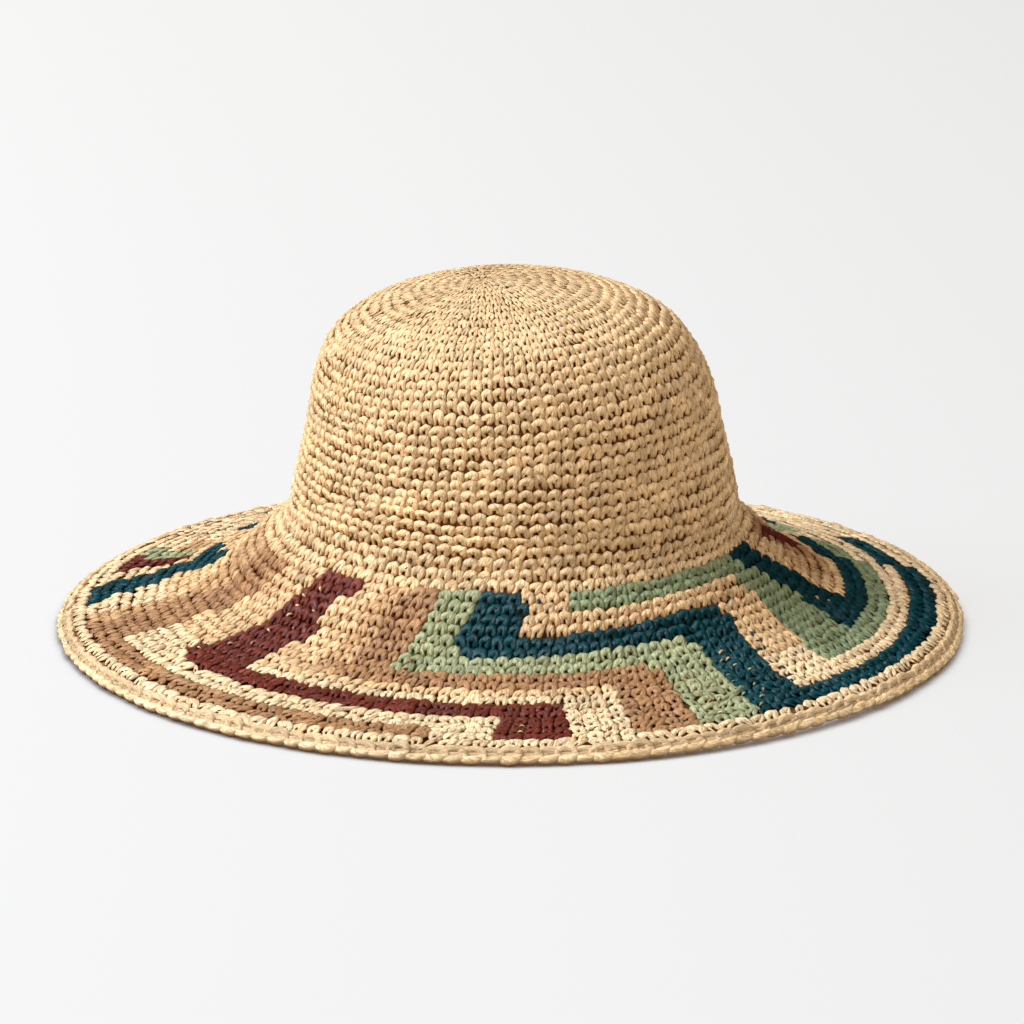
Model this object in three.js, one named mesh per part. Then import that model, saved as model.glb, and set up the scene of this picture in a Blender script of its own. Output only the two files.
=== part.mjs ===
// Crocheted straw hat: a domed crown worked in rounds from its centre, a bell-shaped brim
// worked on from it, and a chain-stitched edge. Millimetres, +Z up, the front faces -Y.
// The origin is on the surface that the hat rests on, under the middle of the brim.

import * as THREE from 'three';

// Driving dimensions, in millimetres.
const ROUND_HEIGHT = 5.35; // one crocheted round, measured along the profile
const WALL = 3.8; // thickness of the crocheted straw
const RIB_CREST = 0.5; // a round stands this proud of the mean surface at its middle
const RIB_VALLEY = -0.8; // and dips this far below it where two rounds meet
const GAP = 0.3; // clearance between neighbouring pieces
const RIM_RADIUS = 206.3; // outer radius of the finished edge
const EDGE_RADIUS = 2.9; // half the thickness of the chain-stitched edge

// Places along the profile, counted in rounds from the centre of the crown.
const CROWN_END = 31; // the head opening, where the brim's rounds begin
const BRIM_END = 53.4; // where the brim meets its edge
const RIM = 54.6; // the outermost line of the edge

const SIDES = 40; // facets around the hat
const EDGE_SIDES = 8; // facets around the chain-stitched edge
const SHORTEST_ROW = 0.25; // least part of a round between the last two outer rows
const INNER_ROW = 3; // rounds between two rows of the plain inner side

// How steeply the straw falls away at each round, in degrees below level.
const SLOPES = [
  { round: 0, slope: 4 },
  { round: 4, slope: 7.5 },
  { round: 8, slope: 15 },
  { round: 13, slope: 29.5 },
  { round: 17, slope: 59 },
  { round: 22, slope: 81 },
  { round: 27, slope: 76 },
  { round: 31, slope: 82 },
  { round: 34, slope: 36 },
  { round: 38, slope: 49 },
  { round: 42, slope: 18 },
  { round: 48, slope: 10 },
  { round: 52, slope: 7.5 },
  { round: 54.6, slope: 44 },
];

// The crown leans a little: how far its centre sits to the right, by round.
const LEAN = [
  { round: 0, right: -0.7 },
  { round: 17, right: -0.7 },
  { round: 23, right: 1.5 },
  { round: 31, right: 1.8 },
  { round: 38, right: 0 },
];

// Waves of the soft brim: the lift halfway out and at the edge, by azimuth in degrees
// from the front, positive towards +X.
const WAVES = [
  { azimuth: -180, halfway: 1, edge: 0 },
  { azimuth: -130, halfway: 0, edge: 0 },
  { azimuth: 5, halfway: 0, edge: 0 },
  { azimuth: 43, halfway: 3.5, edge: 1.2 },
  { azimuth: 75, halfway: 1, edge: 0.3 },
  { azimuth: 108, halfway: 2, edge: 2.2 },
  { azimuth: 150, halfway: 0.5, edge: 0 },
  { azimuth: 180, halfway: 1, edge: 0 },
];
const WAVE_MIDDLE = 40; // the round at which a wave has its halfway lift

const radians = THREE.MathUtils.degToRad;

// Value of a table's column at a place, straight between its rows and level past its ends.
function lookUp(table, key, column, place) {
  const after = table.findIndex((row) => row[key] > place);
  if (after === 0) return table[0][column];
  if (after < 0) return table[table.length - 1][column];
  const low = table[after - 1];
  const high = table[after];
  const share = (place - low[key]) / (high[key] - low[key]);
  return THREE.MathUtils.lerp(low[column], high[column], share);
}

// The same between rows of azimuth, but easing in and out of each row.
function lookUpEased(column, azimuth) {
  const after = WAVES.findIndex((row) => row.azimuth > azimuth);
  if (after < 0) return WAVES[WAVES.length - 1][column];
  const low = WAVES[after - 1];
  const high = WAVES[after];
  const share = (azimuth - low.azimuth) / (high.azimuth - low.azimuth);
  return THREE.MathUtils.lerp(low[column], high[column], THREE.MathUtils.smoothstep(share, 0, 1));
}

// The profile is walked from the apex in short steps, each falling at its round's slope.
const STEPS_PER_ROUND = 20; // fineness of the walk along the profile
const profile = [{ round: 0, radius: 0, drop: 0 }];
for (let step = 1; profile[step - 1].round < RIM; step += 1) {
  const last = profile[step - 1];
  const round = step / STEPS_PER_ROUND;
  const slope = radians(lookUp(SLOPES, 'round', 'slope', round - 0.5 / STEPS_PER_ROUND));
  const length = ROUND_HEIGHT / STEPS_PER_ROUND;
  profile.push({
    round,
    radius: last.radius + length * Math.cos(slope),
    drop: last.drop + length * Math.sin(slope),
  });
}
const APEX_HEIGHT = EDGE_RADIUS + profile[profile.length - 1].drop;

// Lift of the brim's wave at a round and an azimuth, from none at the head opening.
function waveLift(round, azimuth) {
  const halfway = lookUpEased('halfway', azimuth);
  const edge = lookUpEased('edge', azimuth);
  const rows = [
    { round: CROWN_END, lift: 0 },
    { round: WAVE_MIDDLE, lift: halfway },
    { round: RIM, lift: edge },
  ];
  return lookUp(rows, 'round', 'lift', round);
}

// Point on the hat at a round and an azimuth, set off the mean outer surface along its normal.
function pointAt(round, azimuth, offset) {
  const slope = radians(lookUp(SLOPES, 'round', 'slope', round));
  const outward = round === 0 ? 0 : offset * Math.sin(slope);
  const radius = lookUp(profile, 'round', 'radius', round) + outward;
  const height = APEX_HEIGHT - lookUp(profile, 'round', 'drop', round) + offset * Math.cos(slope);
  const around = radians(azimuth);
  return new THREE.Vector3(
    lookUp(LEAN, 'round', 'right', round) + radius * Math.sin(around),
    -radius * Math.cos(around),
    height + waveLift(round, azimuth),
  );
}

// Rows of the ribbed outer side: one where two rounds meet and one along each round's middle.
function outerRows(start, end) {
  const rounds = [start];
  for (let round = Math.floor(start * 2) / 2 + 0.5; round < end - SHORTEST_ROW; round += 0.5) {
    rounds.push(round);
  }
  rounds.push(end);
  return rounds.map((round) => {
    const crest = Math.sin(Math.PI * round) ** 2;
    return { round, offset: THREE.MathUtils.lerp(RIB_VALLEY, RIB_CREST, crest) };
  });
}

// Rows of the plain inner side, walked back from the end to the start.
function innerRows(start, end) {
  const count = Math.round((end - start) / INNER_ROW);
  const rows = [];
  for (let index = count; index >= 0; index -= 1) {
    rows.push({ round: start + ((end - start) * index) / count, offset: -WALL });
  }
  return rows;
}

// A closed body: rows of points carried round the hat and joined by facets, the last row back
// to the first where the body is a ring. A row at round 0 is one point on the axis.
function shell(rows, isRing) {
  const positions = [];
  const rings = rows.map((row) => {
    const first = positions.length / 3;
    const count = row.round === 0 ? 1 : SIDES;
    for (let side = 0; side < count; side += 1) {
      const azimuth = (360 * side) / SIDES - 180;
      positions.push(...row.place(azimuth).toArray());
    }
    return (side) => first + (count === 1 ? 0 : side % SIDES);
  });
  const indices = [];
  const bands = isRing ? rings.length : rings.length - 1;
  for (let band = 0; band < bands; band += 1) {
    const here = rings[band];
    const next = rings[(band + 1) % rings.length];
    for (let side = 0; side < SIDES; side += 1) {
      const corners = [here(side), next(side), next(side + 1), here(side + 1)];
      if (corners[1] !== corners[2]) indices.push(corners[0], corners[1], corners[2]);
      if (corners[0] !== corners[3]) indices.push(corners[0], corners[2], corners[3]);
    }
  }
  const geometry = new THREE.BufferGeometry();
  geometry.setAttribute('position', new THREE.Float32BufferAttribute(positions, 3));
  geometry.setIndex(indices);
  geometry.computeVertexNormals();
  return geometry;
}

// Gives each row of a shell the function that places its points by azimuth.
function placed(rows) {
  return rows.map(({ round, offset }) => ({
    round,
    place: (azimuth) => pointAt(round, azimuth, offset),
  }));
}

function makeCrown() {
  const end = CROWN_END - GAP / 2 / ROUND_HEIGHT;
  return shell(placed([...outerRows(0, end), ...innerRows(0, end)]), false);
}

function makeBrim() {
  const start = CROWN_END + GAP / 2 / ROUND_HEIGHT;
  return shell(placed([...outerRows(start, BRIM_END), ...innerRows(start, BRIM_END)]), true);
}

// The edge is a cord of chain stitches, flat underneath where it rests on the surface.
function makeEdge() {
  const centre = RIM_RADIUS - EDGE_RADIUS;
  const corner = EDGE_RADIUS / Math.cos(Math.PI / EDGE_SIDES);
  const rows = [];
  for (let side = 0; side < EDGE_SIDES; side += 1) {
    const turn = Math.PI / 2 - (2 * Math.PI * (side + 0.5)) / EDGE_SIDES;
    const radius = centre + corner * Math.cos(turn);
    const height = EDGE_RADIUS + corner * Math.sin(turn);
    rows.push({
      round: RIM,
      place: (azimuth) => {
        const around = radians(azimuth);
        const lift = waveLift(RIM, azimuth);
        return new THREE.Vector3(radius * Math.sin(around), -radius * Math.cos(around), height + lift);
      },
    });
  }
  return shell(rows, true);
}

// Finishes: undyed straw on the crown and edge, dyed bands on the brim.
const undyedStraw = new THREE.MeshStandardMaterial({ color: 0xd9bd8e, roughness: 0.75, metalness: 0 });
const patternedStraw = new THREE.MeshStandardMaterial({ color: 0xb08c66, roughness: 0.75, metalness: 0 });

const hat = new THREE.Group();
const pieces = [
  { name: 'crown', geometry: makeCrown(), material: undyedStraw },
  { name: 'brim', geometry: makeBrim(), material: patternedStraw },
  { name: 'brim_edge', geometry: makeEdge(), material: undyedStraw },
];
for (const { name, geometry, material } of pieces) {
  const piece = new THREE.Mesh(geometry, material);
  piece.name = name;
  hat.add(piece);
}

export default hat;
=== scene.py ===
# %% [markdown]
# # A crocheted straw hat
# The real hat is one long strand of raffia worked in rounds of single crochet, from the
# middle of the crown out to the edge of the brim. This lesson builds it the same way: a
# surface of rounds first, then one small puffy loop of straw for every stitch on it.
#
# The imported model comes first. It is the fixed frame that every piece has to fit.

# %% The frame
import math
from collections import namedtuple

import bpy
import numpy as np
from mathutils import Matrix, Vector


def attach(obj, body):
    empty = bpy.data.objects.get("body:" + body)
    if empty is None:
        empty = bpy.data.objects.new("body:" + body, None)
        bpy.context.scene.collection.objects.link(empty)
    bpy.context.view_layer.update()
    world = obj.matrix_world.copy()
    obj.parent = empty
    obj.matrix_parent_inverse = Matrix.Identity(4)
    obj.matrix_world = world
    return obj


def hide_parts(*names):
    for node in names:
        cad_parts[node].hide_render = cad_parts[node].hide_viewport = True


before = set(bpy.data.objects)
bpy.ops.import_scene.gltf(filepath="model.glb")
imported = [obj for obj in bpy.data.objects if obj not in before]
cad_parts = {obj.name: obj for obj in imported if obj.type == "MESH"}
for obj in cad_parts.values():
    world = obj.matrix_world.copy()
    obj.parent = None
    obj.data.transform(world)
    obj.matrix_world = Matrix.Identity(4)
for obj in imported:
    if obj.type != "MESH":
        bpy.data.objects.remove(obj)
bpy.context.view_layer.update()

MM = 0.001  # metres; the sizes of a hat are easier to read in millimetres

# %% [markdown]
# ## Camera, floor and light
# A product picture like this is taken from well away with a long lens, so that the brim's
# near and far edges look almost the same size. The camera stands 2.2 m off and looks down
# at 16 degrees. The floor is a wide pale sheet that fills the picture, so that it needs no
# backdrop behind it.

# %% Camera
CAMERA_DISTANCE = 2.215  # m, as are all sizes of the camera, the floor and the light
CAMERA_ELEVATION = math.radians(16.186)
CAMERA_AIM = Vector((0.000585, 0.0, 0.05089))
SENSOR_WIDTH = 36.0  # mm, Blender's default
FOCAL_LENGTH = 171.63  # mm
FARTHEST_SEEN = 60.0  # well past the floor's far corners

camera_data = bpy.data.cameras.new("camera")
camera_data.lens = FOCAL_LENGTH
camera_data.sensor_width = SENSOR_WIDTH
camera_data.clip_end = FARTHEST_SEEN
camera = bpy.data.objects.new("camera", camera_data)
bpy.context.scene.collection.objects.link(camera)
toward_camera = Vector((0.0, -math.cos(CAMERA_ELEVATION), math.sin(CAMERA_ELEVATION)))
camera.location = CAMERA_AIM + toward_camera * CAMERA_DISTANCE
camera.rotation_euler = (-toward_camera).to_track_quat("-Z", "Y").to_euler()
bpy.context.scene.camera = camera
print("camera at", [round(place, 3) for place in camera.location])


# %% Helpers for nodes
def set_inputs(node, **inputs):
    """Sets a node's inputs by name, spaces written as underscores."""
    for name, value in inputs.items():
        node.inputs[name.replace("_", " ")].default_value = value


def add_node(tree, kind, **inputs):
    """Adds a shader node and sets its inputs."""
    node = tree.nodes.new(kind)
    set_inputs(node, **inputs)
    return node


def add_vector_math(tree, operation):
    """Adds a node that works on vectors, such as one that takes the product of two."""
    node = tree.nodes.new("ShaderNodeVectorMath")
    node.operation = operation
    return node


def add_ramp(tree, low, high):
    """Adds a colour ramp between two stops, each a position and the colour there."""
    ramp = tree.nodes.new("ShaderNodeValToRGB")
    for stop, (position, colour) in zip(ramp.color_ramp.elements, (low, high)):
        stop.position = position
        stop.color = colour
    return ramp


def linear(red, green, blue):
    """Colour as seen, 0 to 255, to the light it reflects: each share to the power 2.2."""
    return tuple((part / 255) ** 2.2 for part in (red, green, blue)) + (1.0,)


# %% Floor
# The floor glows a little, a painted light like the lit table of a product picture, so that
# its shadows stay faint. The glow rises towards the back, where the light reaches less, and
# falls to the right. Close to the hat's edge it dims to a warm brown, a painted contact
# shadow, as the floor there sees less of its surroundings.
FLOOR_SIDE = 30.0
FLOOR_COLOUR = linear(85, 85, 85)
FLOOR_ROUGHNESS = 0.9
FLOOR_GLOSS = 0.1
FLOOR_GLOW = 0.732
GLOW_REACH = 1.6  # from the hat to where the glow stops changing
GLOW_BACK = 0.002  # change of the glow in each metre to the back
GLOW_RIGHT = -0.115  # and to the right
CONTACT_REACH = 0.006  # how close to the hat the glow dims
CONTACT_SAMPLES = 6
# Share of its surroundings that the floor sees, and the colour of its glow there.
CONTACT_SHUT = (0.44, (0.10, 0.05, 0.02, 1.0))
CONTACT_OPEN = (0.8, (1.0, 0.98, 0.945, 1.0))

floor_mesh = bpy.data.meshes.new("floor")
reach = FLOOR_SIDE / 2
corners = [(-reach, -reach, 0), (reach, -reach, 0), (reach, reach, 0), (-reach, reach, 0)]
floor_mesh.from_pydata(corners, [], [(0, 1, 2, 3)])
floor = bpy.data.objects.new("floor", floor_mesh)
bpy.context.scene.collection.objects.link(floor)
floor_paint = bpy.data.materials.new("pale_floor")
floor_paint.use_nodes = True
floor_tree = floor_paint.node_tree
floor_shader = floor_tree.nodes["Principled BSDF"]
set_inputs(
    floor_shader, Base_Color=FLOOR_COLOUR, Roughness=FLOOR_ROUGHNESS, Specular_IOR_Level=FLOOR_GLOSS)
floor_places = floor_tree.nodes.new("ShaderNodeTexCoord")
glow_place = add_vector_math(floor_tree, "DOT_PRODUCT")
glow_place.inputs[1].default_value = (GLOW_RIGHT, GLOW_BACK, 0.0)
floor_tree.links.new(floor_places.outputs["Object"], glow_place.inputs[0])
most_change = GLOW_REACH * math.hypot(GLOW_RIGHT, GLOW_BACK)
glow = add_node(
    floor_tree, "ShaderNodeMapRange", From_Min=-most_change, From_Max=most_change,
    To_Min=FLOOR_GLOW - most_change, To_Max=FLOOR_GLOW + most_change)
floor_tree.links.new(glow_place.outputs["Value"], glow.inputs["Value"])
floor_tree.links.new(glow.outputs["Result"], floor_shader.inputs["Emission Strength"])
# The glow dims to brown where the floor sees little of its surroundings: a painted contact shadow.
openness = add_node(floor_tree, "ShaderNodeAmbientOcclusion", Distance=CONTACT_REACH)
openness.samples = CONTACT_SAMPLES
dimming = add_ramp(floor_tree, CONTACT_SHUT, CONTACT_OPEN)
floor_tree.links.new(openness.outputs["AO"], dimming.inputs["Fac"])
floor_tree.links.new(dimming.outputs["Color"], floor_shader.inputs["Emission Color"])
floor_mesh.materials.append(floor_paint)
floor.visible_glossy = False  # the straw doesn't mirror it
print("floor", FLOOR_SIDE, "m wide, its glow", FLOOR_GLOW)

# %% Lights
# One cool light high on the left gives the crown its bright and its shaded side. The pale
# surroundings and the warmer glow of the floor fill the shadows.
LIGHT_AZIMUTH = math.radians(-83)  # from the front, so to the left
LIGHT_ELEVATION = math.radians(46)
LIGHT_DISTANCE = 4.0
LIGHT_SIDE = 2.2
LIGHT_WATTS = 271.0
LIGHT_COLOUR = (0.87, 1.03, 1.28)
FILL_COLOUR = (1.0, 0.985, 0.965, 1.0)
FILL_STRENGTH = 0.87

toward_light = Vector((
    math.sin(LIGHT_AZIMUTH) * math.cos(LIGHT_ELEVATION),
    -math.cos(LIGHT_AZIMUTH) * math.cos(LIGHT_ELEVATION),
    math.sin(LIGHT_ELEVATION),
))
lamp = bpy.data.lights.new("key_light", "AREA")
lamp.size = LIGHT_SIDE
lamp.energy = LIGHT_WATTS
lamp.color = LIGHT_COLOUR
key_light = bpy.data.objects.new("key_light", lamp)
key_light.location = CAMERA_AIM + toward_light * LIGHT_DISTANCE
key_light.rotation_euler = (-toward_light).to_track_quat("-Z", "Y").to_euler()
bpy.context.scene.collection.objects.link(key_light)

world = bpy.data.worlds.new("pale_surroundings")
world.use_nodes = True
set_inputs(world.node_tree.nodes["Background"], Color=FILL_COLOUR, Strength=FILL_STRENGTH)
world.cycles_visibility.glossy = False  # only the key light shines on the straw's gloss
bpy.context.scene.world = world
bpy.context.scene.view_settings.view_transform = "Standard"
print("key light at", [round(place, 2) for place in key_light.location])

# %% [markdown]
# ## The surface of rounds
# Every stitch is placed by three numbers: its round counted from the middle of the crown,
# its azimuth round the hat, and how far it stands off the surface. A table of slopes says
# how steeply the straw falls away at each round, and walking down those slopes in short
# steps gives the radius and the height. The brim also waves a little, as soft straw does.

# %% Driving sizes
ROUND_HEIGHT = 5.35  # mm, one round measured along the surface
HALF_ROUND = 0.5  # a stitch's middle lies half a round before the end of its round
CROWN_END = 31  # the head opening
WAVE_MIDDLE = 40  # the round at which a wave has its halfway lift
LAST_ROUND = 53
RIM = 54.6  # outermost line of the edge, in rounds
RIM_RADIUS = 206.3  # mm
EDGE_RADIUS = 2.9  # mm, half the thickness of the chain-stitched edge
STEPS_PER_ROUND = 20  # fineness of the walk down the profile
# How far the crochet's own middle lies from the crown's, in rounds.
MIDDLE_RIGHT = -2.3
MIDDLE_FRONT = 1.7

# Round, and the slope there in degrees below level.
SLOPES = np.array([
    (0, 4), (4, 7.5), (8, 15), (13, 29.5), (17, 59), (22, 81), (27, 76),
    (31, 82), (34, 36), (38, 49), (42, 18), (48, 10), (52, 7.5), (54.6, 44),
])
# Round, and how far the crown leans to the right there in mm.
LEAN = np.array([(0, -0.7), (17, -0.7), (23, 1.5), (31, 1.8), (38, 0)])
# Azimuth from the front in degrees, and the lift of the brim halfway out and at its edge in mm.
WAVES = np.array([
    (-180, 1, 0), (-130, 0, 0), (5, 0, 0), (43, 3.5, 1.2),
    (75, 1, 0.3), (108, 2, 2.2), (150, 0.5, 0), (180, 1, 0),
])


# %% Walking down the profile
def look_up(table, places):
    """Second column of a table at places in its first column, straight between its rows."""
    return np.interp(places, table[:, 0], table[:, 1])


def slope_at(rounds):
    """Slope in radians below level."""
    return np.radians(look_up(SLOPES, rounds))


# Each step falls at the slope of its own middle.
walk = np.arange(0, round(RIM * STEPS_PER_ROUND) + 1) / STEPS_PER_ROUND
step_slopes = slope_at(walk[1:] - 0.5 / STEPS_PER_ROUND)
step_length = ROUND_HEIGHT / STEPS_PER_ROUND
walk_radius = np.concatenate([[0], np.cumsum(step_length * np.cos(step_slopes))])
walk_drop = np.concatenate([[0], np.cumsum(step_length * np.sin(step_slopes))])
APEX_HEIGHT = EDGE_RADIUS + walk_drop[-1]


def centred(azimuth):
    """The same azimuth, from -180 degrees up to 180."""
    return (azimuth + 180) % 360 - 180


def wave_lift(rounds, azimuth):
    """Lift in mm: none at the head opening, then straight to halfway and to the edge.

    Between two rows of azimuth the lift eases in and out, as share squared times
    (3 minus twice the share) does.
    """
    azimuth = centred(azimuth)
    row = np.clip(np.searchsorted(WAVES[:, 0], azimuth, side="right") - 1, 0, len(WAVES) - 2)
    share = (azimuth - WAVES[row, 0]) / (WAVES[row + 1, 0] - WAVES[row, 0])
    eased = share * share * (3 - 2 * share)
    halfway = WAVES[row, 1] + (WAVES[row + 1, 1] - WAVES[row, 1]) * eased
    edge = WAVES[row, 2] + (WAVES[row + 1, 2] - WAVES[row, 2]) * eased
    inner = np.clip((rounds - CROWN_END) / (WAVE_MIDDLE - CROWN_END), 0, 1)
    outer = np.clip((rounds - WAVE_MIDDLE) / (RIM - WAVE_MIDDLE), 0, 1)
    return halfway * inner * (1 - outer) + edge * outer


def from_middle(rounds, azimuth):
    """The middle of the crochet lies off the middle of the crown: rounds and turn on the crown.

    A round's place, laid out flat, moves by the middle's own shift, which fades from all of it
    at the middle, slowly at first, to none at the head opening. The turn is in radians.
    """
    around = np.radians(azimuth)
    rounds = np.maximum(rounds, 0)
    fade = np.clip(1 - (rounds / CROWN_END) ** 2, 0, 1)
    right = rounds * np.sin(around) + MIDDLE_RIGHT * fade
    front = rounds * np.cos(around) + MIDDLE_FRONT * fade
    return np.hypot(right, front), np.arctan2(right, front)


def hat_point(rounds, azimuth, offset):
    """Points in mm at a round, an azimuth and an offset along the surface's normal.

    The radius is the walked radius plus the offset times the sine of the slope, and the
    height is the walked height plus the offset times its cosine.
    """
    rounds, around = from_middle(rounds, azimuth)
    slope = slope_at(rounds)
    radius = np.interp(rounds, walk, walk_radius) + offset * np.sin(slope)
    drop = np.interp(rounds, walk, walk_drop)
    height = APEX_HEIGHT - drop + offset * np.cos(slope) + wave_lift(rounds, azimuth)
    lean = look_up(LEAN, rounds)
    return np.stack([lean + radius * np.sin(around), -radius * np.cos(around), height], axis=-1)


print("crown top", round(APEX_HEIGHT, 1), "mm, rim radius", round(walk_radius[-1], 1), "mm")

# %% [markdown]
# ## Counting the stitches
# A crocheter starts with a few stitches in a ring and adds more in every round while the
# work is meant to lie flat. Where no stitch is added it turns down into a wall, and where
# many are added again it flares out into the brim. The table gives the stitches of some
# rounds, and the rounds between them get what lies between.

# %% Stitch counts
# Round, and how many stitches it has.
COUNTS = np.array([
    (1, 8), (6, 54), (9, 76), (13, 92), (31, 93), (34, 112), (38, 133), (41, 145), (46, 160), (54, 170),
])
# Round, and how far its stitches sit to the right of the last round's, in stitches.
DRIFTS = np.array([(1, -0.14), (31, -0.16), (35, -0.28), (42, -0.28), (46, -0.10), (54, -0.08)])
EASING_PASSES = 24  # how often neighbours share out their room in each round
EASING_SHARE = 0.3  # how far a stitch moves each time towards the middle of its neighbours
GOLDEN_SHARE = 0.618  # keeps the added stitches of one round away from those of the last


def neighbours(azimuth):
    """The azimuths before and after each stitch of a round, past a full turn at its ends."""
    before = np.append(azimuth[-1] - 360, azimuth[:-1])
    after = np.append(azimuth[1:], azimuth[0] + 360)
    return before, after


def next_round(azimuth, count, shift, drift):
    """Azimuths of a round from those of the round before it.

    Every stitch stands over the one before it, moved by the drift. Those that are added go
    halfway between two of them, spread evenly round the hat, and then each stitch moves a
    part of the way to the middle of its neighbours, several times over.
    """
    step = 360 / len(azimuth)
    azimuth = azimuth + drift * step
    added = count - len(azimuth)
    places = (np.arange(added) + shift) / max(added, 1) * len(azimuth)
    slots = np.sort(places.astype(int) % len(azimuth))
    ahead = neighbours(azimuth)[1]
    azimuth = np.sort(np.concatenate([azimuth, (azimuth + ahead)[slots] / 2]))
    for _ in range(EASING_PASSES):
        before, after = neighbours(azimuth)
        azimuth = azimuth + EASING_SHARE * ((before + after) / 2 - azimuth)
    return azimuth


ROUND_AZIMUTHS = [np.arange(COUNTS[0, 1]) * 360 / COUNTS[0, 1]]
for number in range(2, LAST_ROUND + 1):
    count = int(round(look_up(COUNTS, number)))
    drift = look_up(DRIFTS, number)
    ROUND_AZIMUTHS.append(next_round(ROUND_AZIMUTHS[-1], count, (number * GOLDEN_SHARE) % 1, drift))

Stitches = namedtuple("Stitches", "round azimuth step")


def stitches_of(first, last):
    """The stitches of the rounds from first to last, one row of each array for each stitch.

    A stitch's step is half the azimuth from the stitch before it to the stitch after it.
    """
    rows = ROUND_AZIMUTHS[first - 1:last]
    owner = np.repeat(np.arange(first, last + 1), [len(row) for row in rows])
    steps = []
    for row in rows:
        before, after = neighbours(row)
        steps.append((after - before) / 2)
    return Stitches(owner, centred(np.concatenate(rows)), np.concatenate(steps))


print("stitches in all:", len(stitches_of(1, LAST_ROUND).round))

# %% [markdown]
# ## The chart of colours
# The brim is worked with several yarns carried along at once, and the maker changes from
# one to another by a chart. Its motif is a stepped fret: bars that run outwards and bands
# that run round, in flat colours. Each row of the chart here is one bar or band: its yarn,
# its first and last row counted from the crown, and its left and right side in degrees
# at the first row and at the last. A later row of the chart lies over an earlier one.

# %% The yarns and the chart
PATTERN_START = 34  # the round before the first charted row
YARNS = {
    "natural": linear(240, 200, 146),
    "honey": linear(235, 191, 137),
    # The cream is partly a paler straw and partly painted light on the outer brim and the edge.
    "cream": linear(245, 210, 160),
    "light_tan": linear(211, 164, 113),
    "tan": linear(179, 131, 88),
    "maroon": linear(112, 48, 34),
    "light_green": linear(168, 169, 123),
    "sage": linear(142, 151, 110),
    "teal": linear(9, 66, 70),
}
YARN_NAMES = list(YARNS)
YARN_COLOURS = np.array(list(YARNS.values()))

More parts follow.
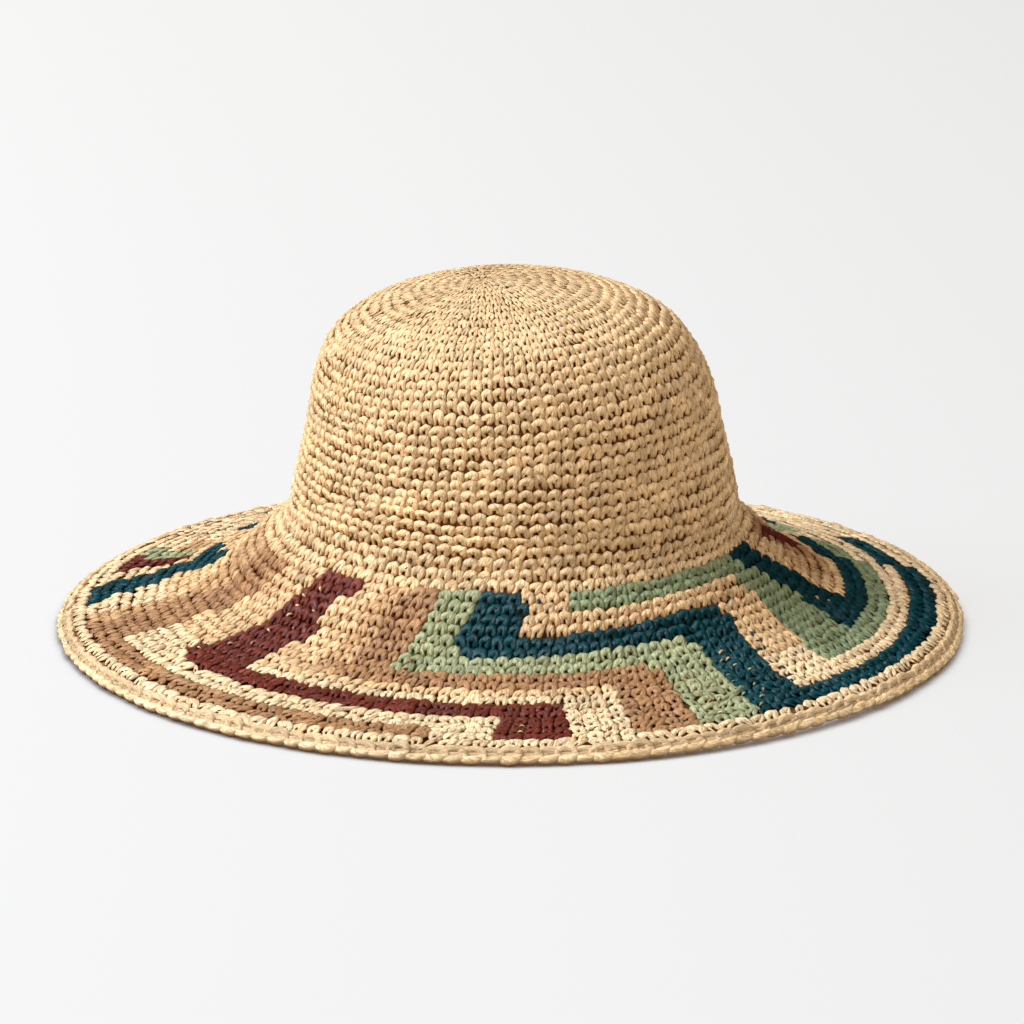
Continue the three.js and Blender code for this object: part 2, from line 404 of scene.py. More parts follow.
Patch = namedtuple("Patch", "yarn first last left left_end right right_end")
CHART = [
    # The ground is honey-coloured, and a paler cream on the outer brim and the edge: partly
    # the straw's own paler tone, partly painted light that brightens these outer rows and the
    # edge's downward face.
    Patch("honey", 1, 11, -180.0, -180.0, 180.0, 180.0),
    Patch("cream", 12, 19, -180.0, -180.0, 180.0, 180.0),
    # Front left: a maroon bar, its band and the block at the band's end.
    Patch("maroon", 1, 12, -48.0, -58.3, -37.5, -46.0),
    Patch("maroon", 13, 14, -58.5, -58.0, 7.3, 7.3),
    Patch("maroon", 15, 18, -2.3, -2.3, 7.3, 7.3),
    # Front: tan, then light green, then teal, each stepping to the right.
    Patch("light_tan", 1, 10, -30.0, -34.0, -17.5, -24.0),
    Patch("tan", 1, 8, -25.0, -30.0, -17.5, -22.0),
    Patch("tan", 9, 10, -31.0, -31.0, 25.0, 25.0),
    Patch("tan", 11, 18, 15.5, 15.5, 25.0, 24.0),
    Patch("light_green", 1, 8, -17.5, -22.0, -7.5, -11.0),
    Patch("light_green", 7, 8, -22.0, -22.0, 35.0, 35.0),
    Patch("light_green", 9, 18, 25.0, 24.0, 34.5, 32.5),
    Patch("teal", 1, 4, -7.5, -9.5, 3.2, 2.0),
    Patch("teal", 5, 6, -10.5, -10.5, 47.0, 46.5),
    Patch("teal", 7, 16, 35.0, 32.8, 46.5, 41.5),
    Patch("teal", 17, 18, 32.8, 32.8, 104.0, 104.0),
    Patch("teal", 16, 17, 104.0, 104.0, 120.0, 120.0),
    # Front right: sage, then the second teal fret.
    Patch("sage", 1, 2, 13.0, 13.0, 62.0, 62.0),
    Patch("sage", 2, 6, 57.0, 59.5, 65.0, 73.5),
    Patch("sage", 7, 12, 59.0, 54.0, 74.0, 68.0),
    Patch("sage", 13, 14, 53.0, 53.0, 104.0, 104.0),
    Patch("sage", 12, 13, 104.0, 104.0, 116.0, 116.0),
    Patch("teal", 1, 6, 62.0, 73.0, 72.5, 82.0),
    Patch("teal", 7, 10, 73.5, 70.0, 82.5, 81.0),
    Patch("teal", 11, 12, 68.5, 68.5, 104.0, 104.0),
    Patch("teal", 10, 11, 104.0, 104.0, 117.0, 117.0),
    # Inside the second fret, towards the back.
    Patch("light_tan", 5, 9, 86.0, 90.0, 112.0, 112.0),
    Patch("tan", 1, 8, 84.0, 98.0, 97.0, 112.0),
    Patch("maroon", 2, 8, 86.0, 106.0, 93.0, 118.0),
    Patch("light_green", 8, 13, 118.0, 122.0, 128.0, 132.0),
    Patch("teal", 9, 13, 130.0, 130.0, 139.0, 139.0),
    # Left: a tan fret, and behind it a teal one.
    Patch("light_tan", 2, 3, -95.0, -95.0, -61.0, -61.0),
    Patch("light_tan", 4, 9, -95.0, -86.0, -63.0, -69.5),
    Patch("light_tan", 10, 18, -84.0, -83.0, -70.0, -70.0),
    Patch("tan", 2, 3, -76.0, -76.0, -61.0, -61.0),
    Patch("tan", 4, 9, -78.0, -81.0, -63.0, -69.5),
    Patch("tan", 10, 18, -81.0, -79.0, -70.0, -70.0),
    Patch("tan", 17, 18, -79.0, -79.0, -10.0, -10.0),
    Patch("teal", 7, 10, -104.0, -117.0, -98.5, -97.0),
    Patch("teal", 11, 18, -104.5, -96.5, -96.5, -88.5),
    Patch("maroon", 12, 17, -108.5, -111.0, -106.0, -103.5),
    Patch("light_green", 12, 17, -113.0, -115.5, -108.5, -111.0),
    Patch("light_tan", 12, 14, -120.0, -120.0, -113.0, -114.0),
    Patch("teal", 10, 12, -133.0, -133.0, -126.0, -126.0),
    # Behind, out of sight: the front's frets once more.
    Patch("maroon", 1, 12, 144.0, 133.7, 154.5, 146.0),
    Patch("maroon", 13, 14, 133.5, 134.0, 199.3, 199.3),
    Patch("maroon", 15, 18, 189.7, 189.7, 199.3, 199.3),
    Patch("light_tan", 1, 10, 162.0, 158.0, 174.5, 168.0),
    Patch("tan", 1, 8, 167.0, 162.0, 174.5, 170.0),
    Patch("tan", 9, 10, 161.0, 161.0, 213.0, 213.0),
    Patch("tan", 11, 18, 205.0, 205.0, 213.0, 212.0),
    Patch("light_green", 1, 8, 174.5, 170.0, 184.5, 181.0),
    Patch("light_green", 7, 8, 170.0, 170.0, 216.0, 216.0),
    Patch("teal", 1, 4, 184.5, 182.5, 195.0, 194.0),
    Patch("teal", 5, 6, 181.5, 181.5, 218.0, 218.0),
]


def yarn_at(rounds, azimuth):
    """Number of the yarn at each place: that of the chart's last row that holds it.

    A row holds a place whose round is one of its own and whose azimuth lies between its
    left and right side, both straight from the first row to the last.
    """
    yarn = np.zeros(np.shape(azimuth), dtype=int)
    row = rounds - PATTERN_START
    for patch in CHART:
        share = (row - patch.first) / max(patch.last - patch.first, 1)
        left = patch.left + (patch.left_end - patch.left) * share
        right = patch.right + (patch.right_end - patch.right) * share
        held = (row >= patch.first) & (row <= patch.last)
        held &= (azimuth - left) % 360 <= right - left
        yarn[held] = YARN_NAMES.index(patch.yarn)
    return yarn


brim_stitches = stitches_of(PATTERN_START + 1, LAST_ROUND)
brim_yarns = yarn_at(brim_stitches.round, brim_stitches.azimuth)
print("brim stitches by yarn:", dict(zip(YARN_NAMES, np.bincount(brim_yarns).tolist())))

# %% [markdown]
# ## One stitch
# From outside, a single crochet looks like a small puffy arch: two legs of straw that
# come out of the round below it, lean together and meet in a round shoulder. Between
# the legs stays a small dark hole. The arch is a tube carried along a short path, with
# six sides, wider where the straw puffs out. Only a few dozen faces are affordable,
# because there are more than five thousand stitches.


# %% A tube along a path
def tube(path, breadth, depth, sides, closed=False):
    """Rings of points round a path, and each point's place along and around the strand.

    A point is the path's point plus the side direction times the breadth times the cosine
    of its turn, plus the depth direction times the depth times the sine. The side direction
    is square to the path and to the outward axis, the depth direction square to both.
    """
    if closed:
        along = np.roll(path, -1, axis=0) - np.roll(path, 1, axis=0)
    else:
        along = np.gradient(path, axis=0)
    along /= np.linalg.norm(along, axis=1, keepdims=True)
    side = np.cross([0.0, 0.0, 1.0], along)
    side /= np.linalg.norm(side, axis=1, keepdims=True)
    deep = np.cross(along, side)
    turn = np.pi / 2 + 2 * np.pi * np.arange(sides) / sides
    rings = path[:, None] + side[:, None] * (breadth[:, None] * np.cos(turn))[..., None]
    rings = rings + deep[:, None] * (depth[:, None] * np.sin(turn))[..., None]
    length = np.concatenate([[0], np.cumsum(np.linalg.norm(np.diff(path, axis=0), axis=1))])
    around = breadth.mean() * (turn - np.pi / 2)
    strand = np.stack(np.broadcast_arrays(length[:, None], around), axis=-1)
    return rings.reshape(-1, 3), strand.reshape(-1, 2)


def tube_faces(rings, sides, closed=False):
    """Quads of one tube: its wall, and at each end of an open one a cap cut into quads."""
    ring = np.arange(rings if closed else rings - 1)[:, None] * sides
    turn = np.arange(sides)
    after = (turn + 1) % sides
    here = ring + turn
    there = (ring + sides) % (rings * sides)
    wall = np.stack([here, ring + after, there + after, there + turn], axis=-1).reshape(-1, 4)
    if closed:
        return wall
    corner = np.arange(1, sides - 1, 2)[:, None]
    cap = np.hstack([0 * corner, corner, corner + 1, corner + 2])
    return np.concatenate([wall, cap[:, ::-1], cap + (rings - 1) * sides])


OTHER_WAY = [0, 3, 2, 1]  # a quad's corners in this order turn its face over


# %% The arch of a stitch
# Across as a share of the stitch's width, up as a share of the round's height, out and
# half the strand's breadth in mm, and the painted shade there: the share of light that the
# yarn's colour keeps, below 1 in the folds at the feet, a little above 1 as a painted
# highlight on the shoulder.
Knot = namedtuple("Knot", "across up out half_breadth shade")
ARCH = [
    Knot(-0.310, -0.72, -1.95, 0.80, 0.66),
    Knot(-0.355, -0.46, -1.45, 1.10, 0.90),
    Knot(-0.380, -0.22, -1.05, 1.35, 0.95),
    Knot(-0.340, -0.01, -0.76, 1.65, 1.00),
    Knot(-0.160, 0.11, -0.50, 1.90, 1.03),
    Knot(0.075, 0.21, -0.34, 2.05, 1.04),
    Knot(0.265, 0.16, -0.36, 2.10, 1.03),
    Knot(0.290, -0.09, -0.55, 1.90, 0.99),
    Knot(0.240, -0.42, -1.15, 1.55, 0.91),
    Knot(0.195, -0.72, -1.95, 1.00, 0.62),
]
STITCH_WIDTH = 6.3  # mm, the width at which the arch has its true form
FLATNESS = 0.74  # thickness of a strand seen from the side as a share of its breadth
FLANK = 0.77  # light that the lowest line of a strand keeps; its crest keeps all

Loop = namedtuple("Loop", "points strand shade faces")


def make_loop(knots, length, height, flatness, sides, closed=False):
    """One loop of straw through its knots: their across is times a length, up times a height.

    Its shade is the knot's, and less towards the lowest line of the strand.
    """
    table = np.array(knots)
    path = table[:, :3] * [length, height, 1]
    points, strand = tube(path, table[:, 3], table[:, 3] * flatness, sides, closed)
    crest = (1 + np.cos(2 * np.pi * np.arange(sides) / sides)) / 2
    shade = table[:, 4, None] * (FLANK + (1 - FLANK) * crest)
    return Loop(points, strand, shade.ravel(), tube_faces(len(table), sides, closed))


arch = make_loop(ARCH, STITCH_WIDTH, ROUND_HEIGHT, FLATNESS, sides=6)
# The straw wraps over a stitch's shoulder, so its fibres run up the stitch all the way.
arch = arch._replace(strand=arch.points[:, [1, 0]])
print("one stitch:", len(arch.faces), "faces")

# %% [markdown]
# ## Laying the stitches
# All stitches of a piece are made at once. The arch is repeated in one large array, each
# copy is made a little wider, taller, more open or more slanted than the next, and then
# the whole array is bent onto the surface of rounds. Two attributes go with the points:
# the yarn's colour with painted shade in the folds and on the flanks, and the place along
# and around the strand, for the fibres.


# %% Meshes from arrays
def mesh_object(name, points, faces, colours, strand, body="root"):
    """Makes an object of quads from points in mm, with the yarn and strand attributes.

    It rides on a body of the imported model, which has only one.
    """
    points = points.reshape(-1, 3)
    faces = faces.reshape(-1, 4)
    mesh = bpy.data.meshes.new(name)
    mesh.vertices.add(len(points))
    mesh.vertices.foreach_set("co", (points * MM).astype(np.float32).ravel())
    mesh.loops.add(faces.size)
    mesh.loops.foreach_set("vertex_index", faces.astype(np.int32).ravel())
    mesh.polygons.add(len(faces))
    mesh.polygons.foreach_set("loop_start", np.arange(0, faces.size, 4, dtype=np.int32))
    mesh.polygons.foreach_set("use_smooth", np.ones(len(faces), dtype=bool))
    mesh.update(calc_edges=True)
    # The yarn attribute holds the yarn's colour times its painted shade.
    yarn = mesh.attributes.new("yarn", "FLOAT_COLOR", "POINT")
    yarn.data.foreach_set("color", colours.astype(np.float32).ravel())
    fibres = mesh.attributes.new("strand", "FLOAT_VECTOR", "POINT")
    fibres.data.foreach_set("vector", strand.astype(np.float32).ravel())
    piece = bpy.data.objects.new(name, mesh)
    bpy.context.scene.collection.objects.link(piece)
    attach(piece, body)
    print(name, 2 * len(faces), "triangles")
    return piece


SEED = 5  # of all the small random differences
DEEPENING = 1.9  # how much faster in shade a hue's weaker channels fade than its main one
MOST_SPREADS = 2.5  # how many spreads a stitch may be lighter or darker than its yarn
WARM_SPREAD = 0.45  # spread of the warmth as a share of that of the lightness
WARM_GREEN = 0.35  # how much of the warmth's change in blue the green takes
STRAND_STARTS = 100.0  # mm, the range in which the strands' own starts lie
TWIST = -0.25  # how far the fibres run to the side, as a share of their length
TWIST_SPREAD = 0.35
rng = np.random.default_rng(SEED)


def yarn_colours(yarn, spread):
    """Each stitch's colour: its yarn's, made a little lighter or darker, warmer or cooler."""
    count = len(yarn)
    most = MOST_SPREADS * spread
    light = np.clip(rng.normal(1.0, spread, count), 1 - most, 1 + most)
    warm = rng.normal(0.0, WARM_SPREAD * spread, count)
    tint = np.stack([light, light * (1 - WARM_GREEN * warm), light * (1 - warm), np.ones(count)], axis=-1)
    return YARN_COLOURS[yarn] * tint


def in_shade(colours, light, depth=1.0):
    """Colours where only a share of the light is left, each channel times it to a power.

    The power is 1 in the colour's strongest channel and more in the weaker ones, as the
    light in a fold is coloured by the straw again and again. It is 0 for alpha, and times
    the depth for all.
    """
    strongest = colours[..., :3].max(axis=-1, keepdims=True)
    power = 1 + DEEPENING * (1 - colours / strongest)
    return colours * light ** (power * [1, 1, 1, 0] * depth)


def repeat_loops(name, loop, points, colours, depth=1.0):
    """Makes one mesh of many copies of a loop from all their points and each copy's colour.

    A copy's faces are the loop's, raised by the points before it. Its colour is shaded as
    the loop's points are, by less in a flatter stitch, whose depth is less. Its strand
    begins at a length of its own and twists by a share of its own.
    """
    count = len(colours)
    faces = loop.faces[None] + (np.arange(count) * len(loop.points))[:, None, None]
    depths = np.broadcast_to(depth, count)[:, None, None]
    shaded = in_shade(colours[:, None], loop.shade[:, None], depths)
    start = rng.uniform(0, STRAND_STARTS, count)[:, None, None]
    twist = rng.normal(TWIST, TWIST_SPREAD, count)[:, None]
    strand = loop.strand[None] + start
    strand[..., 1] += twist * loop.strand[:, 0]
    strand = np.concatenate([strand, np.broadcast_to(start, strand.shape[:2] + (1,))], axis=-1)
    return mesh_object(name, points, faces, shaded, strand)


# %% Laying arches on the hat
# How much the stitches differ: their width and height as shares, their slant as mm across
# for each mm up, the room between their legs as a share, and their place in mm.
WIDTH_SPREAD = 0.075
HEIGHT_SPREAD = 0.075
SLANT_SPREAD = 0.14
OPEN_SPREAD = 0.20
PLACE_SPREAD = 0.22
CREASE = 0.21  # mm, how far each point of a strand is pushed about
SHADE_SPREAD = 0.085  # how much lighter or darker a stitch is, as a share
ODD_SHARE = 0.06  # share of the stitches that are odder than the rest
ODDNESS = 1.4  # how much more these differ, as a share
CREST = -0.4  # mm off the surface, the middle of the strand at the arch's shoulder

# Round, and how deep its stitches are as a share of the arch's full depth.
RELIEF = np.array([
    (1, 0.06), (5, 0.12), (10, 0.28), (15, 0.58), (28, 0.8), (33, 0.84), (40, 0.76),
    (46, 0.54), (52, 0.46), (53, 0.38),
])
# Round, and how uneven its stitches are as a share of the spreads above.
UNEVENNESS = np.array([(1, 1.3), (10, 1.15), (17, 1.0), (42, 1.0), (48, 2.1), (54, 2.1)])
# Round, and how far the legs stand apart as a share of the arch's own width.
OPENNESS = np.array([(1, 0.6), (10, 0.75), (16, 1.0), (43, 1.0), (48, 0.6), (54, 0.5)])
# Rows wander: waves round the hat, their turn from one round to the next, their height in rounds.
WANDER = np.array([(5, 0.11, 0.10), (9, 0.23, 0.07), (17, 0.41, 0.04)])
# Round, and how far in rounds the brim's rows are pulled outwards at the front and the back,
# and inwards at the sides.
PULL = np.array([(41, 0.0), (50, 0.3), (52, 0.25), (54, 0.05)])


def wander(rounds, azimuth):
    """How far a row lies off its place, in rounds: the sum of the waves' sines, and the pull.

    The pull is that of the round times the cosine of twice the azimuth.
    """
    waves, turn, height = WANDER.T
    phase = np.radians(azimuth)[..., None] * waves + 2 * np.pi * rounds[..., None] * turn
    pull = look_up(PULL, rounds) * np.cos(2 * np.radians(azimuth))
    return (np.sin(phase) * height).sum(axis=-1) + pull


def lay_arches(name, first, last):
    """Lays one arch for each stitch of some rounds, each a little unlike the next.

    A point moves from (across, up, out) to the azimuth of its stitch plus across times the
    degrees in a mm there, to its round less up over the round's height, and off by out.
    """
    stitches = stitches_of(first, last)
    count = len(stitches.round)
    odd = 1 + ODDNESS * (rng.random(count) < ODD_SHARE)
    odd = odd * look_up(UNEVENNESS, stitches.round)
    openness = look_up(OPENNESS, stitches.round)
    local = np.broadcast_to(arch.points, (count,) + arch.points.shape).copy()
    across, up, out = local[..., 0], local[..., 1], local[..., 2]
    below = np.clip(-up / ROUND_HEIGHT, 0, 1)
    across *= 1 + (odd * rng.normal(0, WIDTH_SPREAD, count))[:, None]
    across *= 1 + (openness * rng.normal(1, OPEN_SPREAD, count) - 1)[:, None] * below
    across += (odd * rng.normal(0, SLANT_SPREAD, count))[:, None] * up
    up *= 1 + (odd * rng.normal(0, HEIGHT_SPREAD, count))[:, None]
    up += rng.normal(0, PLACE_SPREAD, count)[:, None]
    local += rng.normal(0, CREASE, local.shape)
    relief = look_up(RELIEF, stitches.round)
    out[:] = CREST + (out - CREST) * relief[:, None]
    out += rng.normal(0, PLACE_SPREAD, count)[:, None] * relief[:, None]
    azimuth = stitches.azimuth[:, None] + across / STITCH_WIDTH * stitches.step[:, None]
    centre = stitches.round + wander(stitches.round, stitches.azimuth)
    rounds = centre[:, None] - HALF_ROUND - up / ROUND_HEIGHT
    colours = yarn_colours(yarn_at(stitches.round, stitches.azimuth), SHADE_SPREAD)
    return repeat_loops(name, arch, hat_point(rounds, azimuth, out), colours, relief)


# %% [markdown]
# ## Raffia
# Raffia is a strip of palm leaf, rolled and folded as it is worked. It has fine fibres
# along the strand, a soft satin gloss and uneven colour. The fibres are noise that is
# stretched along the strand attribute: it darkens the yarn's colour, roughens it and
# raises it a little. A broad noise on the object adds slow changes from place to place.


# %% The raffia material
GLOSS_TINT = (1.0, 0.88, 0.76, 1.0)  # warm, as dry straw shines
FIBRE_NOISE = (0.30, 1.35, 1.0)  # its cells in a mm along the strand and around it
FIBRE_DARK = 0.40  # the noise at which a fibre is darkest
FIBRE_LIGHT = 0.57  # and at which it has the yarn's full colour
FIBRE_ROUGHNESS = 0.12  # how much rougher or smoother than the strand a fibre is
FIBRE_HEIGHT = 0.9 * MM
FIBRE_BUMP = 0.9
PATCH_NOISE = 55.0  # its cells in a metre
PATCH_LOW = 0.3  # the noise at which a place is darkest
PATCH_HIGH = 0.7  # and at which it is lightest
PATCH_CHANGE = 0.08  # as a share of its colour
WHITE = (1.0, 1.0, 1.0, 1.0)


def add_attribute(tree, name):
    """Adds a node that reads one of the mesh's own attributes."""
    node = tree.nodes.new("ShaderNodeAttribute")
    node.attribute_name = name
    return node


def raffia(name, fibre_depth, warmth, gloss, roughness):
    """Straw of the yarn attribute's colour, with darker and warmer fibres along the strand.

    Of red, the darkest fibres keep 1 less the fibre depth. Of green they lose more, by the
    warmth's share of that depth, and of blue by twice as much.
    """
    material = bpy.data.materials.new(name)
    material.use_nodes = True
    tree = material.node_tree
    link = tree.links.new
    shader = tree.nodes["Principled BSDF"]
    set_inputs(shader, Specular_IOR_Level=gloss, Specular_Tint=GLOSS_TINT)

    strand = add_attribute(tree, "strand")
    yarn = add_attribute(tree, "yarn")
    stretch = add_node(tree, "ShaderNodeMapping", Scale=FIBRE_NOISE)
    link(strand.outputs["Vector"], stretch.inputs["Vector"])
    fibres = add_node(tree, "ShaderNodeTexNoise", Scale=1.0, Detail=3.0, Roughness=0.7)
    link(stretch.outputs["Vector"], fibres.inputs["Vector"])

    places = tree.nodes.new("ShaderNodeTexCoord")
    patches = add_node(tree, "ShaderNodeTexNoise", Scale=PATCH_NOISE, Detail=2.0, Roughness=0.5)
    link(places.outputs["Object"], patches.inputs["Vector"])

    darkest = tuple(1 - (1 + step * warmth) * fibre_depth for step in range(3)) + (1.0,)
    streaks = add_ramp(tree, (FIBRE_DARK, darkest), (FIBRE_LIGHT, WHITE))
    link(fibres.outputs["Fac"], streaks.inputs["Fac"])
    fibrous = add_vector_math(tree, "MULTIPLY")
    link(yarn.outputs["Color"], fibrous.inputs[0])
    link(streaks.outputs["Color"], fibrous.inputs[1])
    slow = add_node(
        tree, "ShaderNodeMapRange", From_Min=PATCH_LOW, From_Max=PATCH_HIGH,
        To_Min=1 - PATCH_CHANGE, To_Max=1 + PATCH_CHANGE)
    link(patches.outputs["Fac"], slow.inputs["Value"])
    shade = add_vector_math(tree, "SCALE")
    link(fibrous.outputs["Vector"], shade.inputs["Vector"])
    link(slow.outputs["Result"], shade.inputs["Scale"])
    link(shade.outputs["Vector"], shader.inputs["Base Color"])

    rough = add_node(
        tree, "ShaderNodeMapRange",
        To_Min=roughness + FIBRE_ROUGHNESS, To_Max=roughness - FIBRE_ROUGHNESS)
    link(fibres.outputs["Fac"], rough.inputs["Value"])
    link(rough.outputs["Result"], shader.inputs["Roughness"])

    raised = add_node(tree, "ShaderNodeBump", Strength=FIBRE_BUMP, Distance=FIBRE_HEIGHT)
    link(fibres.outputs["Fac"], raised.inputs["Height"])
    link(raised.outputs["Normal"], shader.inputs["Normal"])
    return material


undyed_raffia = raffia("undyed_raffia", fibre_depth=0.42, warmth=0.2, gloss=0.35, roughness=0.4)
dyed_raffia = raffia("dyed_raffia", fibre_depth=0.5, warmth=0.1, gloss=0.36, roughness=0.34)
# The material and the slot of the pieces that stand for each CAD node.
NODE_FINISH = {
    "crown": (undyed_raffia, "undyed_straw"),
    "brim": (dyed_raffia, "patterned_straw"),
    "brim_edge": (undyed_raffia, "undyed_straw"),
}


def finish_piece(piece, node):
    """Gives a piece the material of the CAD node that it stands for, and hides that node's part."""
    material, slot = NODE_FINISH[node]
    piece.data.materials.append(material)
    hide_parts(node)


print("materials:", undyed_raffia.name, "and", dyed_raffia.name)

# %% The outer side of the crown and the brim
OuterPiece = namedtuple("OuterPiece", "name first last node")
OUTER_PIECES = [
    OuterPiece("crown_top_stitches", 1, 17, "crown"),
    OuterPiece("crown_side_stitches", 18, CROWN_END, "crown"),
    OuterPiece("brim_inner_stitches", CROWN_END + 1, 39, "brim"),
    OuterPiece("brim_middle_stitches", 40, 46, "brim"),
    OuterPiece("brim_outer_stitches", 47, LAST_ROUND, "brim"),
]
for row in OUTER_PIECES:
    finish_piece(lay_arches(row.name, row.first, row.last), row.node)

# %% [markdown]
# ## Carried yarn
# A yarn that waits for its turn is carried along inside the stitches of another, and here
# and there a short piece of it peeps out between two of them. Each row of the table is a
# line of such flecks, one in every round from its first to its last.

# %% Flecks of carried yarn
Fleck = namedtuple("Fleck", "yarn first last azimuth azimuth_end turn")
FLECKS = [
    Fleck("natural", 2, 12, -46.5, -56.5, 10),
    Fleck("natural", 4, 11, -44.0, -52.5, -25),
    # A teal strand that zigzags down the tan bar: one leg of each zigzag, then the other.
    Fleck("teal", 4, 16, 50.8, 43.4, 50),
    Fleck("teal", 4, 16, 49.7, 42.4, -50),
    Fleck("teal", 1, 3, 5.5, 4.5, 60),
    Fleck("light_green", 8, 17, 36.5, 34.5, 15),
    Fleck("natural", 9, 16, 39.5, 37.5, 20),
    Fleck("tan", 11, 17, 29.5, 27.5, -20),
    Fleck("natural", 12, 17, 31.5, 29.5, 30),
    Fleck("tan", 3, 8, -15.0, -19.5, 15),
    Fleck("maroon", 14, 18, 8.6, 9.2, -20),
    Fleck("tan", 12, 17, 12.0, 12.0, 60),
    Fleck("natural", 15, 17, 0.5, 1.0, 5),
    Fleck("natural", 3, 9, 66.0, 76.0, 30),
    Fleck("teal", 5, 5, -88.0, -88.0, 20),
]
FLECK = [
    Knot(-0.50, 0.0, -0.8, 0.25, 0.9),
    Knot(-0.26, 0.0, 0.2, 0.50, 1.0),
    Knot(0.00, 0.0, 0.5, 0.60, 1.0),
    Knot(0.26, 0.0, 0.2, 0.50, 1.0),
    Knot(0.50, 0.0, -0.8, 0.25, 0.9),
]
FLECK_LENGTH = 3.2  # mm
FLECK_FLATNESS = 0.7
FLECK_SIZE_SPREAD = 0.15
FLECK_DROP = 0.42  # rounds below the middle of its round, where two rounds meet
FLECK_SHARE = 0.6  # share of the flecks that show
FLECK_TURN = 25  # degrees, how far a fleck is turned about
FLECK_WANDER = 0.8  # degrees, how far it lies off its line

fleck = make_loop(FLECK, FLECK_LENGTH, 1, FLECK_FLATNESS, sides=4)


def lay_flecks(name):
    """Lays the flecks of all lines, but for the share that stays hidden.

    A fleck is turned in the surface by its own turn, by its cosine and sine. Then across
    moves its points round the hat by the degrees in a mm there, and up moves them by rounds.
    """
    rows = [(line, number) for line in FLECKS for number in range(line.first, line.last + 1)]
    rows = [row for row in rows if row[0].first == row[0].last or rng.random() < FLECK_SHARE]
    count = len(rows)
    shares = np.array([(number - line.first) / max(line.last - line.first, 1) for line, number in rows])
    start, end, turn = np.array([(line.azimuth, line.azimuth_end, line.turn) for line, _ in rows]).T
    rounds = np.array([number for _, number in rows]) + PATTERN_START - HALF_ROUND + FLECK_DROP
    azimuth = start + (end - start) * shares + rng.normal(0, FLECK_WANDER, count)
    turn = np.radians(turn + rng.normal(0, FLECK_TURN, count))[:, None]
    local = fleck.points[None] * rng.normal(1, FLECK_SIZE_SPREAD, (count, 1, 1))
    across = local[..., 0] * np.cos(turn) - local[..., 1] * np.sin(turn)
    down = -local[..., 0] * np.sin(turn) - local[..., 1] * np.cos(turn)
    radius = np.interp(rounds, walk, walk_radius)[:, None]
    azimuth = azimuth[:, None] + np.degrees(across / radius)
    points = hat_point(rounds[:, None] + down / ROUND_HEIGHT, azimuth, local[..., 2])
    yarns = np.array([YARN_NAMES.index(line.yarn) for line, _ in rows])
    return repeat_loops(name, fleck, points, yarn_colours(yarns, SHADE_SPREAD))


finish_piece(lay_flecks("carried_yarn"), "brim")

# %% [markdown]
# ## Under the stitches
# Through the small holes between the stitches shows the shaded straw behind them. A thin
# closed shell fills the middle of the wall. It keeps daylight out of the holes, as the
# crossing strands do on the real hat, and its colour is painted darker, a painted shade
# for the little light that gets in.


# %% The core of the wall
CORE_OUTSIDE = -1.7  # mm off the surface
CORE_INSIDE = -2.3
CORE_SIDES = 120
CORE_START = 0.02  # rounds; it leaves a pinhole at the crown's middle, too small to be seen
CORE_END = 53.8  # rounds, inside the edge
CORE_FIBRES = 0.5  # how fine its fibres are, as a share of a strand's
# Round, and the light that the core keeps: more where the stitches lie flat.
CORE_SHADE = np.array([(0, 0.8), (6, 0.65), (14, 0.24), (48, 0.22), (52, 0.3)])


def lay_core(name, start, end):
    """A thin shell between two rounds, its outer and its inner side joined at both ends.

    Its rows go out along the outer side and back along the inner side, one for each round.
    """
    outward = np.linspace(start, end, int(round(end - start)) + 1)
    rows = np.concatenate([outward, outward[::-1]])
    offsets = np.repeat([CORE_OUTSIDE, CORE_INSIDE], len(outward))
    azimuth = np.arange(CORE_SIDES) * 360 / CORE_SIDES
    points = hat_point(rows[:, None], azimuth[None], offsets[:, None])
    faces = tube_faces(len(rows), CORE_SIDES, closed=True)[:, OTHER_WAY]
    numbers = np.clip(np.ceil(rows), 1, LAST_ROUND)
    charted, around = np.broadcast_arrays(numbers[:, None], centred(azimuth))
    kept = look_up(CORE_SHADE, rows)[:, None, None]
    colours = in_shade(YARN_COLOURS[yarn_at(charted, around)], kept)
    return mesh_object(name, points, faces, colours, points * CORE_FIBRES)


finish_piece(lay_core("crown_core", CORE_START, CROWN_END), "crown")
finish_piece(lay_core("brim_core", CROWN_END, CORE_END), "brim")

# %% [markdown]
# ## The inner side
# Seen from inside the hat, single crochet shows short bars that lie along the round, each
# one the back of a stitch. Hardly anyone looks there for long, so a bar has fewer faces.

# %% The inner bars
BAR = [
    Knot(-0.50, -0.16, -2.7, 0.8, 0.55),
    Knot(-0.34, 0.06, -3.05, 1.15, 0.85),
    Knot(-0.10, 0.16, -3.15, 1.3, 0.95),
    Knot(0.14, 0.10, -3.15, 1.3, 0.95),
    Knot(0.36, -0.08, -3.05, 1.15, 0.85),
    Knot(0.50, -0.30, -2.7, 0.8, 0.55),
]
BAR_FLATNESS = 0.65
bar = make_loop(BAR, STITCH_WIDTH, ROUND_HEIGHT, BAR_FLATNESS, sides=4)


def lay_bars(name, first, last):
    """Lays one bar behind each stitch of some rounds, by the same rule as the arches."""
    stitches = stitches_of(first, last)
    count = len(stitches.round)
    across, up, out = bar.points.T
    up = up + rng.normal(0, PLACE_SPREAD, count)[:, None]
    azimuth = stitches.azimuth[:, None] + across / STITCH_WIDTH * stitches.step[:, None]
    rounds = stitches.round[:, None] - HALF_ROUND - up / ROUND_HEIGHT
    colours = yarn_colours(yarn_at(stitches.round, stitches.azimuth), SHADE_SPREAD)
    return repeat_loops(name, bar, hat_point(rounds, azimuth, out[None]), colours)


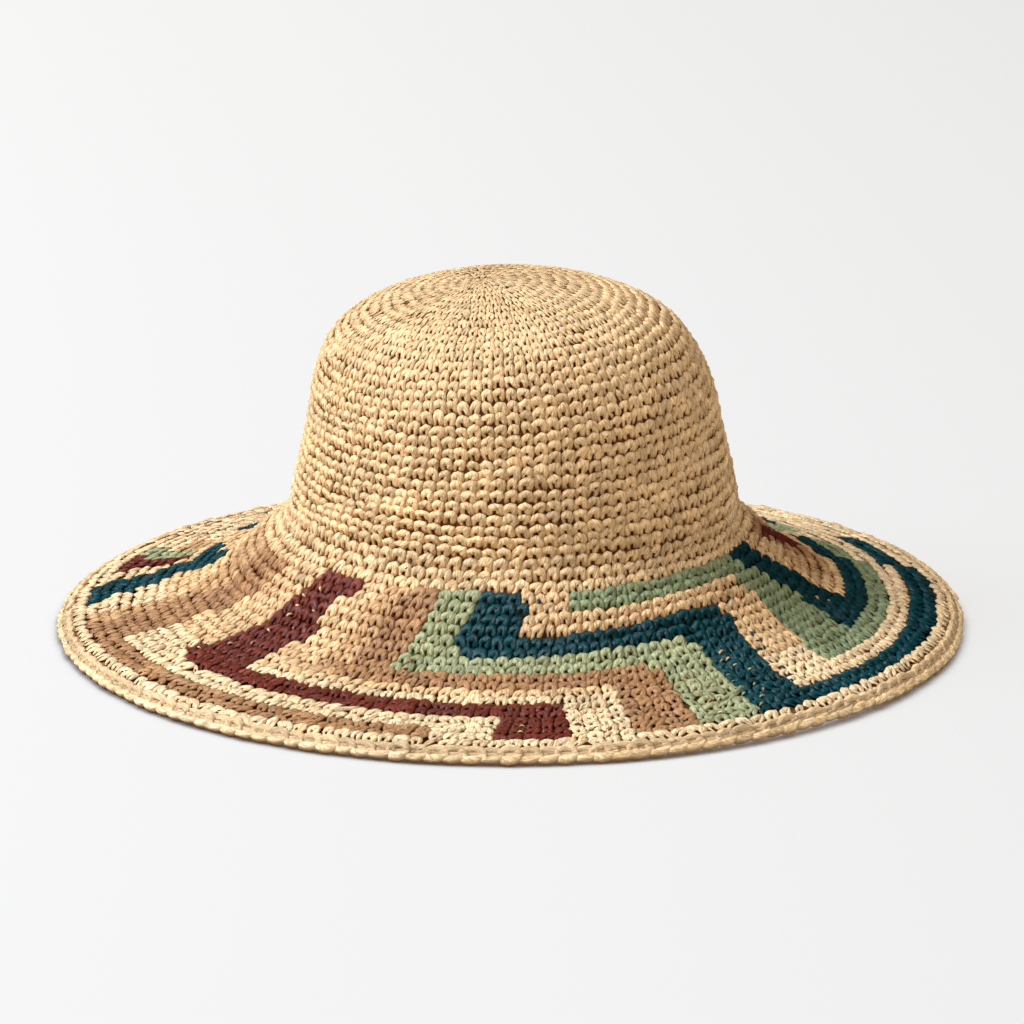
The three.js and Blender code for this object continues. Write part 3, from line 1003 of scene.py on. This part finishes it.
finish_piece(lay_bars("crown_inner_bars", 1, CROWN_END), "crown")
finish_piece(lay_bars("brim_inner_bars", CROWN_END + 1, LAST_ROUND), "brim")

# %% [markdown]
# ## The edge
# The last round is a chain: each link is a teardrop loop that comes up through the one
# before it. From the front its lower strand hangs in a small scallop, and its upper strand
# lies along the last round of the brim. A link is a closed tube, and a thin cord inside
# the chain closes the holes.

# %% The chain of links
LINKS = 162
LINK_SIDES = 6
# Here across is along the edge, as a share of a link's length, and up is in mm as out is.
LINK = [
    Knot(0.66, 1.20, 0.00, 1.15, 0.97),
    Knot(0.40, 0.40, 0.70, 1.65, 1.00),
    Knot(0.12, -0.10, 1.00, 1.95, 1.02),
    Knot(-0.18, -0.35, 0.95, 2.05, 1.02),
    Knot(-0.47, -0.30, 0.60, 2.00, 1.00),
    Knot(-0.70, 0.40, -0.30, 1.50, 0.95),
    Knot(-0.66, 1.60, -1.40, 1.50, 0.95),
    Knot(-0.38, 2.50, -2.60, 1.75, 1.02),
    Knot(-0.04, 2.90, -3.20, 1.75, 1.04),
    Knot(0.34, 2.75, -2.90, 1.80, 1.02),
    Knot(0.62, 2.05, -1.40, 1.40, 0.97),
]
# How far up or down a point of a link lies in mm, and the light it keeps there.
UNDERSIDE = np.array([(-2.6, 0.38), (-0.8, 1.0)])
LINK_FLATNESS = 0.95
LINK_SPREAD = 0.08  # how much a link's size and shade differ, as a share
LINK_CREASE = CREASE / 2

edge_centre = RIM_RADIUS - EDGE_RADIUS
link_length = 2 * math.pi * edge_centre / LINKS
link_middles = (np.arange(LINKS) - LINKS / 2) * link_length
link = make_loop(LINK, link_length, 1, LINK_FLATNESS, LINK_SIDES, closed=True)
link = link._replace(shade=link.shade * look_up(UNDERSIDE, link.points[:, 1]))


def edge_point(along, up, out):
    """Points of the edge in mm: along it from the front, up and out from its middle line."""
    azimuth = np.degrees(along / edge_centre)
    around = np.radians(azimuth)
    height = EDGE_RADIUS + up + wave_lift(np.full(np.shape(azimuth), RIM), azimuth)
    radius = edge_centre + out
    return np.stack([radius * np.sin(around), -radius * np.cos(around), height], axis=-1)


def lay_links(name):
    """Lays the links one after another round the edge, each stretched a little on its own."""
    local = link.points[None] * (1 + rng.normal(0, LINK_SPREAD, (LINKS, 1, 3)))
    local = local + rng.normal(0, LINK_CREASE, local.shape)
    points = edge_point(link_middles[:, None] + local[..., 0], local[..., 1], local[..., 2])
    # The links' cream holds painted light as well as the straw's own paler tone.
    yarn = np.full(LINKS, YARN_NAMES.index("cream"))
    return repeat_loops(name, link, points, yarn_colours(yarn, LINK_SPREAD))


finish_piece(lay_links("edge_chain"), "brim_edge")

# %% The cord inside the chain
CORD_RADIUS = 1.7  # mm
CORD_UP = 0.7
CORD_OUT = -1.2
CORD_SHADE = 0.6  # share of its colour that is left in the shade of the links
CORD_FIBRES = 0.5  # how fine its fibres are, as a share of a strand's


def lay_cord(name):
    """Circles of points round the edge's middle line, one for each link, joined to a ring.

    The ring's faces point inwards. OTHER_WAY would turn them over, as it does the core's.
    """
    turn = 2 * np.pi * np.arange(LINK_SIDES) / LINK_SIDES
    up = CORD_UP + CORD_RADIUS * np.sin(turn)
    out = CORD_OUT + CORD_RADIUS * np.cos(turn)
    along = np.broadcast_to(link_middles[:, None], (LINKS, LINK_SIDES))
    points = edge_point(along, up[None], out[None]).reshape(-1, 3)
    faces = tube_faces(LINKS, LINK_SIDES, closed=True)
    shaded = np.array(YARNS["natural"]) * [CORD_SHADE, CORD_SHADE, CORD_SHADE, 1.0]
    colours = np.repeat(shaded[None], len(points), axis=0)
    return mesh_object(name, points, faces, colours, points * CORD_FIBRES)


finish_piece(lay_cord("edge_cord"), "brim_edge")
